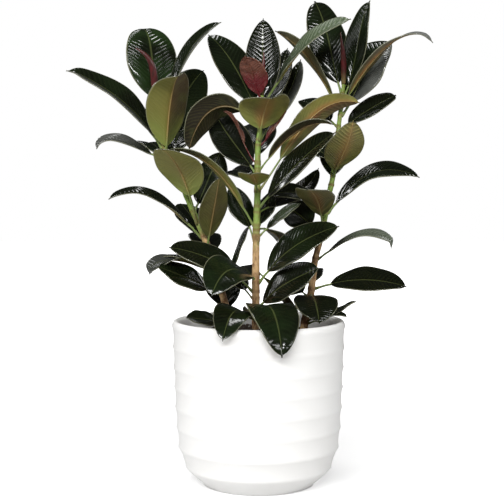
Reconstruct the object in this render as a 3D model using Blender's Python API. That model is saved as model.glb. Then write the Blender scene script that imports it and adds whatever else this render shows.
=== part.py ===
"""Potted rubber plant: three leafy stems in soil, in a white pot with eight soft bands.

Units are metres and degrees. +Z is up and -Y is the front. The origin is the middle of the
pot's foot.
"""

import math
from collections import namedtuple

import bmesh
import bpy
from mathutils import Vector, geometry, noise

# The pot is turned. Its bands dip a little between crests, and its lip is rounded.
POT_HEIGHT = 0.256
POT_SIDES = 42
FOOT_RADIUS = 0.088
FOOT_EDGE = 0.003
FIRST_CREST = 0.0275
CREST_PITCH = 0.0313
CREST_RADII = [0.1144, 0.1255, 0.1286, 0.1306, 0.1319, 0.1332, 0.1342, 0.1350]
BAND_DIP = 0.0018
WALL = 0.0115
FLOOR = 0.016
INSIDE_CRESTS = [7, 4, 1, 0]

# The soil is a low lumpy mound.
SOIL_EDGE = 0.228
SOIL_MOUND = 0.014
SOIL_LUMP = 0.003
SOIL_RINGS = 4

# The clearance between pieces that touch.
SEAT_GAP = 0.0003

# A stem: (right, back, up) points from root to growing tip, and its radius at each end.
Stem = namedtuple("Stem", "route thick thin")
STEM_SIDES = 8
STEM_STEP = 0.034
STEMS = {
    "left": Stem([
        (-0.030, 0.028, 0.150), (-0.043, 0.026, 0.240), (-0.059, 0.024, 0.300), (-0.082, 0.022, 0.374),
        (-0.107, 0.020, 0.434), (-0.132, 0.018, 0.492), (-0.147, 0.016, 0.522), (-0.161, 0.014, 0.600),
    ], 0.0065, 0.0032),
    "middle": Stem([
        (-0.002, -0.012, 0.150), (-0.004, -0.014, 0.240), (-0.004, -0.015, 0.365),
        (-0.002, -0.015, 0.442), (-0.001, -0.015, 0.520), (0.002, -0.015, 0.550), (0.005, -0.015, 0.602),
    ], 0.0070, 0.0034),
    "right": Stem([
        (0.062, 0.010, 0.150), (0.071, 0.013, 0.240), (0.082, 0.015, 0.296), (0.088, 0.016, 0.345),
        (0.097, 0.017, 0.382), (0.110, 0.017, 0.450), (0.116, 0.017, 0.481), (0.124, 0.016, 0.551),
        (0.132, 0.015, 0.621),
    ], 0.0068, 0.0032),
}

# The red sheath of the next leaf stands on each growing tip, and bends to (right, back, up).
SHEATH_RADIUS = 0.0042
SHEATH_SWELL = [0.75, 0.95, 1.0, 0.9, 0.7, 0.42, 0.12]
SHEATHS = {
    "left": (-0.190, 0.002, 0.676),
    "middle": (0.008, -0.018, 0.668),
    "right": (0.126, 0.004, 0.700),
}

# A leaf: its stem, the height of its node, its tip (right, back, up), its blade width and its
# petiole length. Then, in degrees, how steeply the petiole rises, how far the tip dips, the roll
# about the midrib (positive lifts the edge on the left of someone looking out from the stem) and
# the fold of each half. Last, how strongly the midrib bends.
Leaf = namedtuple("Leaf", "stem node tip width petiole rise dip roll fold bend", defaults=[12, 0.38])
LEAVES = {
    "leaf_left_01": Leaf("left", 0.586, (-0.186, 0.080, 0.716), 0.084, 0.016, 72, -12, 0),
    "leaf_left_02": Leaf("left", 0.570, (-0.058, 0.000, 0.716), 0.038, 0.025, 62, -25, 34, 22),
    "leaf_left_03": Leaf("left", 0.528, (-0.088, 0.085, 0.650), 0.072, 0.018, 60, -35, 42),
    "leaf_left_04": Leaf("left", 0.523, (-0.294, -0.005, 0.645), 0.062, 0.025, 60, -25, -32, 24),
    "leaf_left_05": Leaf("left", 0.516, (-0.119, -0.075, 0.628), 0.078, 0.010, 74, -12, 10, 26),
    "leaf_left_06": Leaf("left", 0.508, (-0.250, -0.012, 0.521), 0.046, 0.025, 14, 65, -24, 16),
    "leaf_left_07": Leaf("left", 0.498, (-0.125, 0.150, 0.566), 0.060, 0.018, 55, -15, 0),
    "leaf_left_08": Leaf("left", 0.425, (-0.060, 0.050, 0.519), 0.056, 0.012, 60, -60, 36),
    "leaf_left_09": Leaf("left", 0.407, (-0.142, -0.100, 0.520), 0.078, 0.050, 62, -15, 0),
    "leaf_left_10": Leaf("left", 0.385, (-0.234, 0.005, 0.444), 0.050, 0.030, 50, 32, -12, 18),
    "leaf_left_11": Leaf("left", 0.374, (-0.127, 0.092, 0.436), 0.060, 0.012, 58, -30, 0),
    "leaf_left_12": Leaf("left", 0.372, (-0.060, -0.040, 0.478), 0.048, 0.014, 64, -66, 8),
    "leaf_left_13": Leaf("left", 0.330, (-0.177, 0.020, 0.327), 0.050, 0.020, 30, 60, 18),
    "leaf_left_14": Leaf("left", 0.296, (-0.156, -0.010, 0.340), 0.060, 0.018, 30, -22, -34),
    "leaf_left_15": Leaf("left", 0.260, (-0.068, 0.078, 0.335), 0.060, 0.012, 62, -45, 0),
    "leaf_left_16": Leaf("left", 0.250, (-0.113, 0.000, 0.260), 0.046, 0.014, 15, -12, -26),
    "leaf_middle_01": Leaf("middle", 0.597, (-0.020, -0.044, 0.660), 0.052, 0.008, 64, -50, 0),
    "leaf_middle_02": Leaf("middle", 0.588, (0.007, 0.012, 0.723), 0.056, 0.012, 70, -75, 0),
    "leaf_middle_03": Leaf("middle", 0.588, (0.138, -0.044, 0.715), 0.050, 0.040, 58, -15, 22, 20),
    "leaf_middle_04": Leaf("middle", 0.574, (-0.080, 0.058, 0.704), 0.058, 0.020, 56, -35, -34),
    "leaf_middle_05": Leaf("middle", 0.562, (-0.108, -0.006, 0.520), 0.058, 0.030, 42, 75, 42, 12, 0.6),
    "leaf_middle_06": Leaf("middle", 0.535, (0.020, -0.088, 0.594), 0.082, 0.018, 66, 5, 0, 16),
    "leaf_middle_07": Leaf("middle", 0.535, (0.066, 0.060, 0.665), 0.048, 0.020, 50, -72, -6),
    "leaf_middle_08": Leaf("middle", 0.498, (0.000, 0.136, 0.570), 0.060, 0.018, 55, -15, 0),
    "leaf_middle_09": Leaf("middle", 0.490, (0.112, -0.062, 0.557), 0.034, 0.022, 52, 12, -8, 24),
    "leaf_middle_10": Leaf("middle", 0.484, (-0.072, 0.040, 0.586), 0.058, 0.014, 52, -60, -46),
    "leaf_middle_11": Leaf("middle", 0.460, (0.157, 0.000, 0.592), 0.041, 0.056, 54, 14, -62, 16),
    "leaf_middle_12": Leaf("middle", 0.456, (-0.012, -0.108, 0.483), 0.048, 0.016, 40, -2, 0),
    "leaf_middle_13": Leaf("middle", 0.433, (0.114, -0.058, 0.545), 0.064, 0.020, 50, -35, 44, 16),
    "leaf_middle_14": Leaf("middle", 0.404, (-0.133, -0.030, 0.522), 0.044, 0.030, 62, -8, 14),
    "leaf_middle_15": Leaf("middle", 0.383, (-0.042, 0.018, 0.466), 0.044, 0.020, 70, -72, -20),
    "leaf_middle_16": Leaf("middle", 0.322, (-0.069, -0.112, 0.304), 0.070, 0.012, 28, 58, -30, 12, 0.48),
    "leaf_middle_17": Leaf("middle", 0.316, (0.122, -0.040, 0.404), 0.066, 0.022, 55, -18, 46),
    "leaf_middle_18": Leaf("middle", 0.302, (-0.136, -0.046, 0.372), 0.060, 0.030, 48, -10, -42),
    "leaf_middle_19": Leaf("middle", 0.278, (0.091, -0.058, 0.342), 0.064, 0.010, 50, -25, 50),
    "leaf_middle_20": Leaf("middle", 0.268, (0.034, -0.152, 0.219), 0.076, 0.012, 30, 72, 0, 12, 0.5),
    "leaf_middle_21": Leaf("middle", 0.258, (-0.052, -0.144, 0.242), 0.060, 0.016, 22, 58, -16, 12, 0.5),
    "leaf_right_01": Leaf("right", 0.608, (0.089, 0.064, 0.757), 0.064, 0.018, 66, -55, -30, 14),
    "leaf_right_02": Leaf("right", 0.602, (0.171, 0.010, 0.750), 0.050, 0.018, 68, -68, 50, 18),
    "leaf_right_03": Leaf("right", 0.590, (0.261, -0.060, 0.681), 0.036, 0.018, 60, 36, -4),
    "leaf_right_04": Leaf("right", 0.585, (0.026, 0.026, 0.706), 0.052, 0.020, 60, -28, 14),
    "leaf_right_05": Leaf("right", 0.574, (0.210, 0.042, 0.690), 0.078, 0.026, 52, -22, 36),
    "leaf_right_06": Leaf("right", 0.548, (0.214, 0.024, 0.606), 0.044, 0.018, 45, -28, 38, 16),
    "leaf_right_07": Leaf("right", 0.500, (0.072, 0.082, 0.528), 0.060, 0.012, 38, -5, -10),
    "leaf_right_08": Leaf("right", 0.480, (0.138, -0.100, 0.561), 0.060, 0.014, 40, -60, 0, 16),
    "leaf_right_09": Leaf("right", 0.440, (0.020, 0.000, 0.450), 0.052, 0.016, 22, 16, -26),
    "leaf_right_10": Leaf("right", 0.423, (0.248, -0.010, 0.478), 0.060, 0.020, 55, 24, 24, 12, 0.45),
    "leaf_right_11": Leaf("right", 0.403, (0.070, -0.098, 0.460), 0.060, 0.018, 62, -2, 0),
    "leaf_right_12": Leaf("right", 0.396, (0.040, 0.050, 0.430), 0.058, 0.016, 20, -10, -44),
    "leaf_right_13": Leaf("right", 0.351, (0.213, -0.006, 0.372), 0.044, 0.020, 40, 48, 8, 12, 0.42),
    "leaf_right_14": Leaf("right", 0.304, (0.228, -0.022, 0.310), 0.060, 0.026, 20, 14, 34),
    "leaf_right_15": Leaf("right", 0.292, (0.091, -0.076, 0.260), 0.070, 0.010, 10, 42, 0),
}

# The smallest leaves grow in one piece with their stem.
SMALL_LEAVES = [
    Leaf("left", 0.505, (-0.190, 0.105, 0.528), 0.052, 0.016, 25, 25, 0),
    Leaf("left", 0.345, (-0.100, 0.132, 0.386), 0.054, 0.018, 45, 0, 0),
    Leaf("left", 0.334, (-0.176, 0.066, 0.344), 0.050, 0.018, 30, 15, 0),
    Leaf("left", 0.306, (-0.014, 0.035, 0.402), 0.036, 0.020, 55, -60, 0),
    Leaf("middle", 0.570, (0.046, 0.078, 0.685), 0.044, 0.014, 50, -62, 0),
    Leaf("middle", 0.470, (-0.046, 0.085, 0.488), 0.044, 0.014, 25, 5, -20),
    Leaf("middle", 0.424, (0.096, 0.070, 0.493), 0.038, 0.020, 25, -62, 20),
    Leaf("middle", 0.398, (0.054, 0.050, 0.350), 0.040, 0.014, 5, 50, 6),
    Leaf("middle", 0.396, (0.021, 0.024, 0.456), 0.036, 0.012, 60, -60, 0),
    Leaf("middle", 0.388, (0.064, -0.018, 0.438), 0.034, 0.016, 46, -30, 22),
    Leaf("middle", 0.330, (0.062, 0.034, 0.252), 0.034, 0.014, -35, 56, 6),
    Leaf("middle", 0.316, (-0.046, 0.126, 0.318), 0.052, 0.018, 25, 25, 0),
    Leaf("middle", 0.290, (-0.050, 0.012, 0.326), 0.040, 0.018, 45, -10, -10),
    Leaf("middle", 0.254, (-0.022, 0.080, 0.254), 0.030, 0.014, 20, 10, 50),
    Leaf("right", 0.556, (0.064, 0.062, 0.600), 0.050, 0.016, 40, -10, -20),
    Leaf("right", 0.466, (0.136, 0.140, 0.546), 0.054, 0.018, 55, -15, 0),
    Leaf("right", 0.302, (0.078, 0.138, 0.320), 0.052, 0.018, 25, 20, 0),
    Leaf("right", 0.290, (0.048, 0.034, 0.300), 0.040, 0.010, 45, 30, -30),
    Leaf("right", 0.254, (0.134, -0.046, 0.267), 0.028, 0.016, 25, 5, 8),
    Leaf("right", 0.250, (0.149, -0.030, 0.289), 0.034, 0.018, 18, -34, 20),
]
BLADE_STEPS = [0.0, 0.07, 0.22, 0.42, 0.63, 0.82, 0.94, 1.0]
SMALL_BLADE_STEPS = [0.0, 0.16, 0.5, 0.84, 1.0]
BLADE_COLUMNS = [-1.0, -0.5, 0.0, 0.5, 1.0]
BLADE_THICKNESS = 0.0008
BLADE_CURL = 0.10
TIP_HALF_WIDTH = 0.0007
PETIOLE_RADIUS = 0.0019
MIDRIB_DEPTH = 0.0012
ROOT_SINK = 0.0015


def material(name, colour, roughness):
    made = bpy.data.materials.new(name)
    made.use_nodes = True
    shader = made.node_tree.nodes["Principled BSDF"]
    shader.inputs["Base Color"].default_value = (*colour, 1.0)
    shader.inputs["Roughness"].default_value = roughness
    shader.inputs["Metallic"].default_value = 0.0
    return made


def add_object(name, bm, finish=None):
    """Makes a smooth-shaded object of a bmesh."""
    mesh = bpy.data.meshes.new(name)
    bm.to_mesh(mesh)
    bm.free()
    mesh.shade_smooth()
    mesh.set_sharp_from_angle(angle=math.radians(40))
    if finish:
        mesh.materials.append(finish)
    obj = bpy.data.objects.new(name, mesh)
    bpy.context.scene.collection.objects.link(obj)
    return obj


def turned(profile):
    """A closed body of revolution, from (radius, height) points that start and end on the axis."""
    bm = bmesh.new()
    points = [bm.verts.new((radius, 0.0, height)) for radius, height in profile]
    edges = [bm.edges.new(pair) for pair in zip(points, points[1:])]
    bmesh.ops.spin(
        bm, geom=points + edges, cent=(0, 0, 0), axis=(0, 0, 1),
        angle=2 * math.pi, steps=POT_SIDES, use_merge=True,
    )
    bmesh.ops.remove_doubles(bm, verts=bm.verts, dist=1e-6)
    bmesh.ops.recalc_face_normals(bm, faces=bm.faces)
    return bm


def crests():
    return [(radius, FIRST_CREST + CREST_PITCH * i) for i, radius in enumerate(CREST_RADII)]


def pot_outside():
    """Points from the middle of the foot up to the top crest."""
    points = [(0.0, 0.0), (FOOT_RADIUS - FOOT_EDGE, 0.0), (FOOT_RADIUS, FOOT_EDGE)]
    for radius, height in crests():
        low = points[-1]
        if height > FIRST_CREST:
            points.append(((low[0] + radius) / 2 - BAND_DIP, (low[1] + height) / 2))
        points.append((radius, height))
    return points


def pot_lip():
    radius, height = crests()[-1]
    middle = radius - WALL / 2
    rise = POT_HEIGHT - height
    return [
        (middle + WALL / 2 * math.cos(math.radians(turn)), height + rise * math.sin(math.radians(turn)))
        for turn in (42, 90, 138)
    ]


def pot_inside():
    """Points from the lip down to the middle of the floor."""
    wall = [(radius - WALL, height) for radius, height in crests()]
    return [wall[i] for i in INSIDE_CRESTS] + [(FOOT_RADIUS - WALL / 2, FLOOR), (0.0, FLOOR)]


def build_pot(finish):
    return add_object("pot", turned(pot_outside() + pot_lip() + pot_inside()), finish)


def build_soil(finish, stems):
    """Fills the pot, clear of its wall, with a plain hole for each stem."""
    lip, upper, lower, bottom, corner, _ = pot_inside()
    share = (SOIL_EDGE - upper[1]) / (lip[1] - upper[1])
    edge = (upper[0] + (lip[0] - upper[0]) * share, SOIL_EDGE)
    gap = SEAT_GAP * 1.5
    wall = [(radius - gap, height) for radius, height in (bottom, lower, upper, edge)]
    profile = [(0.0, corner[1] + gap), (corner[0] - gap, corner[1] + gap)] + wall
    for ring in range(1, SOIL_RINGS + 1):
        out = 1 - ring / SOIL_RINGS
        profile.append((wall[-1][0] * out, SOIL_EDGE + SOIL_MOUND * (1 - out**2)))
    bm = turned(profile)
    for vert in bm.verts:
        if vert.co.z > SOIL_EDGE + gap:
            vert.co.z += SOIL_LUMP * noise.noise(vert.co * 60.0)
    bmesh.ops.triangulate(bm, faces=bm.faces)
    soil = add_object("soil", bm, finish)
    for name, stem in stems.items():
        cut(soil, add_cutter("hole_" + name, stem_tube(stem, SEAT_GAP)))
    return soil


def add_cutter(name, bm):
    cutter = add_object(name, bm)
    cutter.hide_render = True
    cutter.display_type = "WIRE"
    return cutter


def cut(obj, cutter):
    boolean = obj.modifiers.new("Cut " + cutter.name, "BOOLEAN")
    boolean.operation = "DIFFERENCE"
    boolean.solver = "EXACT"
    boolean.object = cutter


def through(points, share):
    """A point on the smooth curve through the points, from 0 at the first to 1 at the last."""
    spans = len(points) - 1
    at = min(share * spans, spans - 1e-9)
    i = int(at)
    start, end = points[i], points[i + 1]
    pull_in = (end - points[max(i - 1, 0)]) / 2
    pull_out = (points[min(i + 2, spans)] - start) / 2
    return geometry.interpolate_bezier(
        start, start + pull_in / 3, end - pull_out / 3, end, 65,
    )[round((at - i) * 64)]


def stem_at(stem, height):
    """(point on the stem's middle line, its direction, its radius) at a height."""
    points = [Vector(p) for p in stem.route]
    low, high = 0.0, 1.0
    for _ in range(16):
        middle = (low + high) / 2
        if through(points, middle).z < height:
            low = middle
        else:
            high = middle
    axis = through(points, min(low + 0.02, 1.0)) - through(points, max(low - 0.02, 0.0))
    return through(points, low), axis.normalized(), stem.thick + (stem.thin - stem.thick) * low


def skin(rings):
    """A closed body through rings of equal count.

    The diagonals of the second half mirror the first half's, so a blade's faces split alike.
    """
    bm = bmesh.new()
    loops = [[bm.verts.new(point) for point in ring] for ring in rings]
    count = len(rings[0])
    for lower, upper in zip(loops, loops[1:]):
        for k in range(count):
            n = (k + 1) % count
            if k < count // 2:
                bm.faces.new((lower[k], lower[n], upper[n]))
                bm.faces.new((lower[k], upper[n], upper[k]))
            else:
                bm.faces.new((lower[k], lower[n], upper[k]))
                bm.faces.new((lower[n], upper[n], upper[k]))
    bm.faces.new(reversed(loops[0]))
    bm.faces.new(loops[-1])
    bmesh.ops.recalc_face_normals(bm, faces=bm.faces)
    return bm


def tube(centres, radii):
    rings = []
    for i, (centre, radius) in enumerate(zip(centres, radii)):
        along = (centres[min(i + 1, len(centres) - 1)] - centres[max(i - 1, 0)]).normalized()
        side = along.cross(Vector((0, 1, 0))).normalized()
        back = along.cross(side)
        turns = [2 * math.pi * k / STEM_SIDES for k in range(STEM_SIDES)]
        rings.append([centre + radius * (side * math.cos(t) + back * math.sin(t)) for t in turns])
    return skin(rings)


def stem_tube(stem, extra=0.0):
    points = [Vector(p) for p in stem.route]
    length = sum((b - a).length for a, b in zip(points, points[1:]))
    steps = round(length / STEM_STEP)
    shares = [i / steps for i in range(steps + 1)]
    centres = [through(points, share) for share in shares]
    radii = [stem.thick + (stem.thin - stem.thick) * share + extra for share in shares]
    centres[0] -= (centres[1] - centres[0]).normalized() * extra
    return tube(centres, radii)


def build_sheath(name, stem, tip, finish):
    """A slim pointed spear, a seat gap above the growing tip."""
    top = Vector(stem.route[-1])
    start = top + (top - Vector(stem.route[-2])).normalized() * SEAT_GAP * 2
    end = Vector(tip)
    rise = Vector((0, 0, (end - start).length * 0.4))
    centres = geometry.interpolate_bezier(start, start + rise, end - rise * 0.5, end, len(SHEATH_SWELL))
    radii = [SHEATH_RADIUS * swell for swell in SHEATH_SWELL]
    return add_object(name, tube(centres, radii), finish)


def midrib_run(leaf, start, heading):
    """Points from the petiole's root along the midrib to the tip."""
    tip = Vector(leaf.tip)
    rise, dip = math.radians(leaf.rise), math.radians(leaf.dip)
    leave = heading * math.cos(rise) + Vector((0, 0, math.sin(rise)))
    arrive = heading * math.cos(dip) - Vector((0, 0, math.sin(dip)))
    pull = (tip - start).length * leaf.bend
    return geometry.interpolate_bezier(start, start + leave * pull, tip - arrive * pull, tip, 49)


def point_along(run, distance):
    """(point, direction) at a distance along a run of points."""
    for a, b in zip(run, run[1:]):
        step = (b - a).length
        if distance <= step:
            return a + (b - a) * (distance / step), (b - a).normalized()
        distance -= step
    return run[-1], (run[-1] - run[-2]).normalized()


def half_width(leaf, t):
    """From nothing at the blade's base, over a long oval, to its short point."""
    oval = math.sin(math.pi * min(t, 0.999) ** 0.95) ** 0.58
    point = 1 - 0.4 * max(0.0, (t - 0.84) / 0.16) ** 2
    return max(leaf.width / 2 * oval * point, TIP_HALF_WIDTH)


def blade_ring(centre, side, face, half, keel, fold):
    """The section of a folded blade: its upper face from one edge to the other, and back below."""
    ring = []
    for columns, offset in ((BLADE_COLUMNS, 1), (BLADE_COLUMNS[::-1], -1)):
        for s in columns:
            lift = half * (abs(s) * math.sin(fold) - BLADE_CURL * s * s)
            thick = BLADE_THICKNESS / 2 + (keel if s == 0 and offset < 0 else 0.0)
            ring.append(centre - side * (s * half * math.cos(fold)) + face * (lift + offset * thick))
    return ring


def round_ring(centre, side, face, radius):
    """The petiole's section, with as many points as the blade's."""
    count = 2 * len(BLADE_COLUMNS)
    turns = [math.pi * (1 - (2 * k + 1) / count) for k in range(count)]
    return [centre + radius * (face * math.sin(t) - side * math.cos(t)) for t in turns]


def leaf_rings(leaf, stem, steps, inset):
    """Sections of a leaf, whose root is inset into its stem, or stands off it where inset is negative."""
    centre, axis, radius = stem_at(stem, leaf.node)
    level = Vector((leaf.tip[0] - centre.x, leaf.tip[1] - centre.y, 0.0))
    heading = level.normalized()
    outward = (heading - axis * heading.dot(axis)).normalized()
    start = centre + outward * (radius - inset)
    run = midrib_run(leaf, start, heading)
    left = Vector((0, 0, 1)).cross(heading)
    total = sum((b - a).length for a, b in zip(run, run[1:]))
    blade = total - leaf.petiole
    rings = [round_ring(start, axis.cross(outward), axis, PETIOLE_RADIUS * 1.25)]
    for distance in [leaf.petiole * 0.5] + [leaf.petiole + blade * t for t in steps]:
        point, forward = point_along(run, distance)
        up = forward.cross(left)
        turn = math.radians(leaf.roll) * min(1.0, distance / leaf.petiole)
        side = left * math.cos(turn) + up * math.sin(turn)
        face = up * math.cos(turn) - left * math.sin(turn)
        t = (distance - leaf.petiole) / blade
        if t <= 0:
            rings.append(round_ring(point, side, face, PETIOLE_RADIUS))
        else:
            keel = MIDRIB_DEPTH * (1 - t)
            rings.append(blade_ring(point, side, face, half_width(leaf, t), keel, math.radians(leaf.fold)))
    return rings


def build_stem(name, stem, small, finish):
    """A stem, with its smallest leaves joined to it."""
    obj = add_object("stem_" + name, stem_tube(stem), finish)
    sprigs = bpy.data.collections.new("sprigs_" + name)
    for leaf in small:
        sprig = add_object("sprig", skin(leaf_rings(leaf, stem, SMALL_BLADE_STEPS, ROOT_SINK)))
        bpy.context.scene.collection.objects.unlink(sprig)
        sprigs.objects.link(sprig)
    join = obj.modifiers.new("Join sprigs", "BOOLEAN")
    join.operation = "UNION"
    join.solver = "EXACT"
    join.operand_type = "COLLECTION"
    join.collection = sprigs
    evaluated = obj.evaluated_get(bpy.context.evaluated_depsgraph_get())
    joined = bpy.data.meshes.new_from_object(evaluated)
    obj.modifiers.clear()
    obj.data = joined
    for sprig in list(sprigs.objects):
        bpy.data.objects.remove(sprig)
    bpy.data.collections.remove(sprigs)
    return obj


def build():
    ceramic = material("White satin ceramic", (0.84, 0.84, 0.83), 0.45)
    earth = material("Potting soil", (0.045, 0.032, 0.024), 0.95)
    bark = material("Stem bark", (0.36, 0.24, 0.12), 0.7)
    green = material("Dark leaf", (0.022, 0.040, 0.020), 0.3)
    red = material("Red sheath", (0.30, 0.02, 0.03), 0.35)
    build_pot(ceramic)
    for name, stem in STEMS.items():
        small = [leaf for leaf in SMALL_LEAVES if leaf.stem == name]
        build_stem(name, stem, small, bark)
        build_sheath("sheath_" + name, stem, SHEATHS[name], red)
    for name, leaf in LEAVES.items():
        add_object(name, skin(leaf_rings(leaf, STEMS[leaf.stem], BLADE_STEPS, -SEAT_GAP)), green)
    build_soil(earth, STEMS)


def main():
    for obj in list(bpy.data.objects):
        bpy.data.objects.remove(obj)
    build()


main()
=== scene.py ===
import math
import random

import bmesh
import bpy
from mathutils import Matrix, Vector, geometry, noise


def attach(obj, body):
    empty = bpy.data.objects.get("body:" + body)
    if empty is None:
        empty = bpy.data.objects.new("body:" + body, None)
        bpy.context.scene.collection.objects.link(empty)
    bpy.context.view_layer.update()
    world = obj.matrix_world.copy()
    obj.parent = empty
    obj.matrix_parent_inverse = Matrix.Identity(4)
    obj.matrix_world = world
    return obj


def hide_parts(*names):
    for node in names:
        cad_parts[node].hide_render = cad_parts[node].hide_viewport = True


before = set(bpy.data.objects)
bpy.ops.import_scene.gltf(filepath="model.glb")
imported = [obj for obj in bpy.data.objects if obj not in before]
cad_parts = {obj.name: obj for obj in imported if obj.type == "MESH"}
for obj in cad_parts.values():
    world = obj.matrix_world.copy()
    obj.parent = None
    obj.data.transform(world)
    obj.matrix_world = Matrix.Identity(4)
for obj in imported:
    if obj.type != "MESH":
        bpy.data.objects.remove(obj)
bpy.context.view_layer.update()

scene = bpy.context.scene
print("frame loaded,", len(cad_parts), "nodes")


# Shader maths

# An output socket that takes part in plain arithmetic. Each expression adds its nodes.
class Wire:
    def __init__(self, socket):
        self.socket = socket

    def math(self, operation, other=None, third=None):
        values = {0: self, 1: other, 2: third}
        return nodeOf(self.socket.id_data, "ShaderNodeMath", {"operation": operation},
                      {key: value for key, value in values.items() if value is not None})

    def __add__(self, other):
        return self.math("ADD", other)

    def __sub__(self, other):
        return self.math("SUBTRACT", other)

    def __mul__(self, other):
        return self.math("MULTIPLY", other)

    def __truediv__(self, other):
        return self.math("DIVIDE", other)

    def __pow__(self, other):
        return self.math("POWER", other)

    def __rsub__(self, other):
        return self.math("MULTIPLY", -1.0).math("ADD", other)

    __radd__ = __add__
    __rmul__ = __mul__

    def cosine(self):
        return self.math("COSINE")

    def size(self):
        return self.math("ABSOLUTE")

    # 0 below low, 1 above high, and a soft step between them.
    def step(self, low, high):
        return nodeOf(self.socket.id_data, "ShaderNodeMapRange", {"interpolation_type": "SMOOTHSTEP"},
                      {"Value": self, "From Min": low, "From Max": high})

    # A colour between two colours, or two colour wires, by this factor.
    def blend(self, first, second):
        return nodeOf(self.socket.id_data, "ShaderNodeMix", {"data_type": "RGBA"},
                      {0: self, 6: colour(first), 7: colour(second)}, 2)


def colour(value):
    return value if isinstance(value, Wire) else (*value, 1.0)


# Any node: its settings come first, then the values or wires of its inputs. It gives one output.
def nodeOf(tree, kind, settings=None, inputs=None, output=0):
    made = tree.nodes.new(kind)
    for name, value in (settings or {}).items():
        setattr(made, name, value)
    for name, value in (inputs or {}).items():
        if isinstance(value, Wire):
            tree.links.new(value.socket, made.inputs[name])
        else:
            made.inputs[name].default_value = value
    return Wire(made.outputs[output])


# A material on one Principled BSDF, with helpers for what the finishes read.
class Finish:
    def __init__(self, name):
        self.material = bpy.data.materials.new(name)
        self.material.use_nodes = True
        self.tree = self.material.node_tree
        self.shader = self.tree.nodes["Principled BSDF"]

    def node(self, kind, settings=None, inputs=None, output=0):
        return nodeOf(self.tree, kind, settings, inputs, output)

    def attribute(self, name):
        return self.node("ShaderNodeAttribute", {"attribute_name": name}, None, 2)

    def place(self):
        return self.node("ShaderNodeTexCoord", None, None, 3)

    def axis(self, vector, index):
        return self.node("ShaderNodeSeparateXYZ", None, {0: vector}, index)

    def scaled(self, vector, scale):
        return self.node("ShaderNodeMapping", None, {"Vector": vector, "Scale": scale})

    def noise(self, vector, scale, detail=3.0, rough=0.5):
        return self.node("ShaderNodeTexNoise", None,
                         {"Vector": vector, "Scale": scale, "Detail": detail, "Roughness": rough})

    def cells(self, vector, scale, output=0):
        return self.node("ShaderNodeTexVoronoi", None, {"Vector": vector, "Scale": scale}, output)

    def bump(self, height, distance, strength=1.0):
        return self.node("ShaderNodeBump", None,
                         {"Height": height, "Distance": distance, "Strength": strength})

    # Plain numbers are set on the shader, and wires are linked to it.
    def set(self, **values):
        for name, value in values.items():
            socket = self.shader.inputs[{
                "base": "Base Color", "rough": "Roughness", "metallic": "Metallic", "coat": "Coat Weight",
                "coatRough": "Coat Roughness", "ior": "IOR", "normal": "Normal", "sheen": "Sheen Weight",
                "specular": "Specular IOR Level", "subsurface": "Subsurface Weight",
                "glow": "Emission Color", "glowStrength": "Emission Strength",
            }[name]]
            if isinstance(value, Wire):
                self.tree.links.new(value.socket, socket)
            elif isinstance(value, tuple):
                socket.default_value = (*value, 1.0)
            else:
                socket.default_value = value
        return self.material


# Shape helpers

def softStep(low, high, x):
    x = min(1.0, max(0.0, (x - low) / (high - low)))
    return x * x * (3 - 2 * x)


# The frame of a swept ring: its own X and Y span the ring, and Z runs along the sweep.
def ringFrame(centre, side, face, width, height):
    along = side.cross(face).normalized()
    return Matrix.Translation(centre) @ Matrix((
        (side.x * width, face.x * height, along.x),
        (side.y * width, face.y * height, along.y),
        (side.z * width, face.z * height, along.z),
    )).to_4x4()


# A closed tube: a circle extruded from frame to frame, with both ends filled.
def sweepTube(bm, frames, sides):
    ring = bmesh.ops.create_circle(bm, radius=1.0, segments=sides)["verts"]
    edges = list({edge for vert in ring for edge in vert.link_edges})
    bmesh.ops.transform(bm, matrix=frames[0], verts=ring)
    ends, rings = [edges], [ring]
    for before, after in zip(frames, frames[1:]):
        grown = bmesh.ops.extrude_edge_only(bm, edges=edges)["geom"]
        ring = [part for part in grown if isinstance(part, bmesh.types.BMVert)]
        edges = [part for part in grown if isinstance(part, bmesh.types.BMEdge)]
        bmesh.ops.transform(bm, matrix=after @ before.inverted(), verts=ring)
        rings.append(ring)
    ends.append(edges)
    for loop in ends:
        bmesh.ops.holes_fill(bm, edges=loop, sides=0)
    faces = list({face for ring in rings for vert in ring for face in vert.link_faces})
    bmesh.ops.recalc_face_normals(bm, faces=faces)
    return rings


# A finished piece: its place is in its mesh, it rides on the root, and it may stand for nodes.
def addPiece(name, bm, finishes, nodes=(), sharp=None):
    mesh = bpy.data.meshes.new(name)
    bm.to_mesh(mesh)
    bm.free()
    mesh.shade_smooth()
    if sharp:
        mesh.set_sharp_from_angle(angle=math.radians(sharp))
    for finish in finishes:
        mesh.materials.append(finish)
    piece = bpy.data.objects.new(name, mesh)
    scene.collection.objects.link(piece)
    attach(piece, "root")
    if nodes:
        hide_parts(*nodes)
    return piece


# Stems: their routes and radii are the solids' own.

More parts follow.
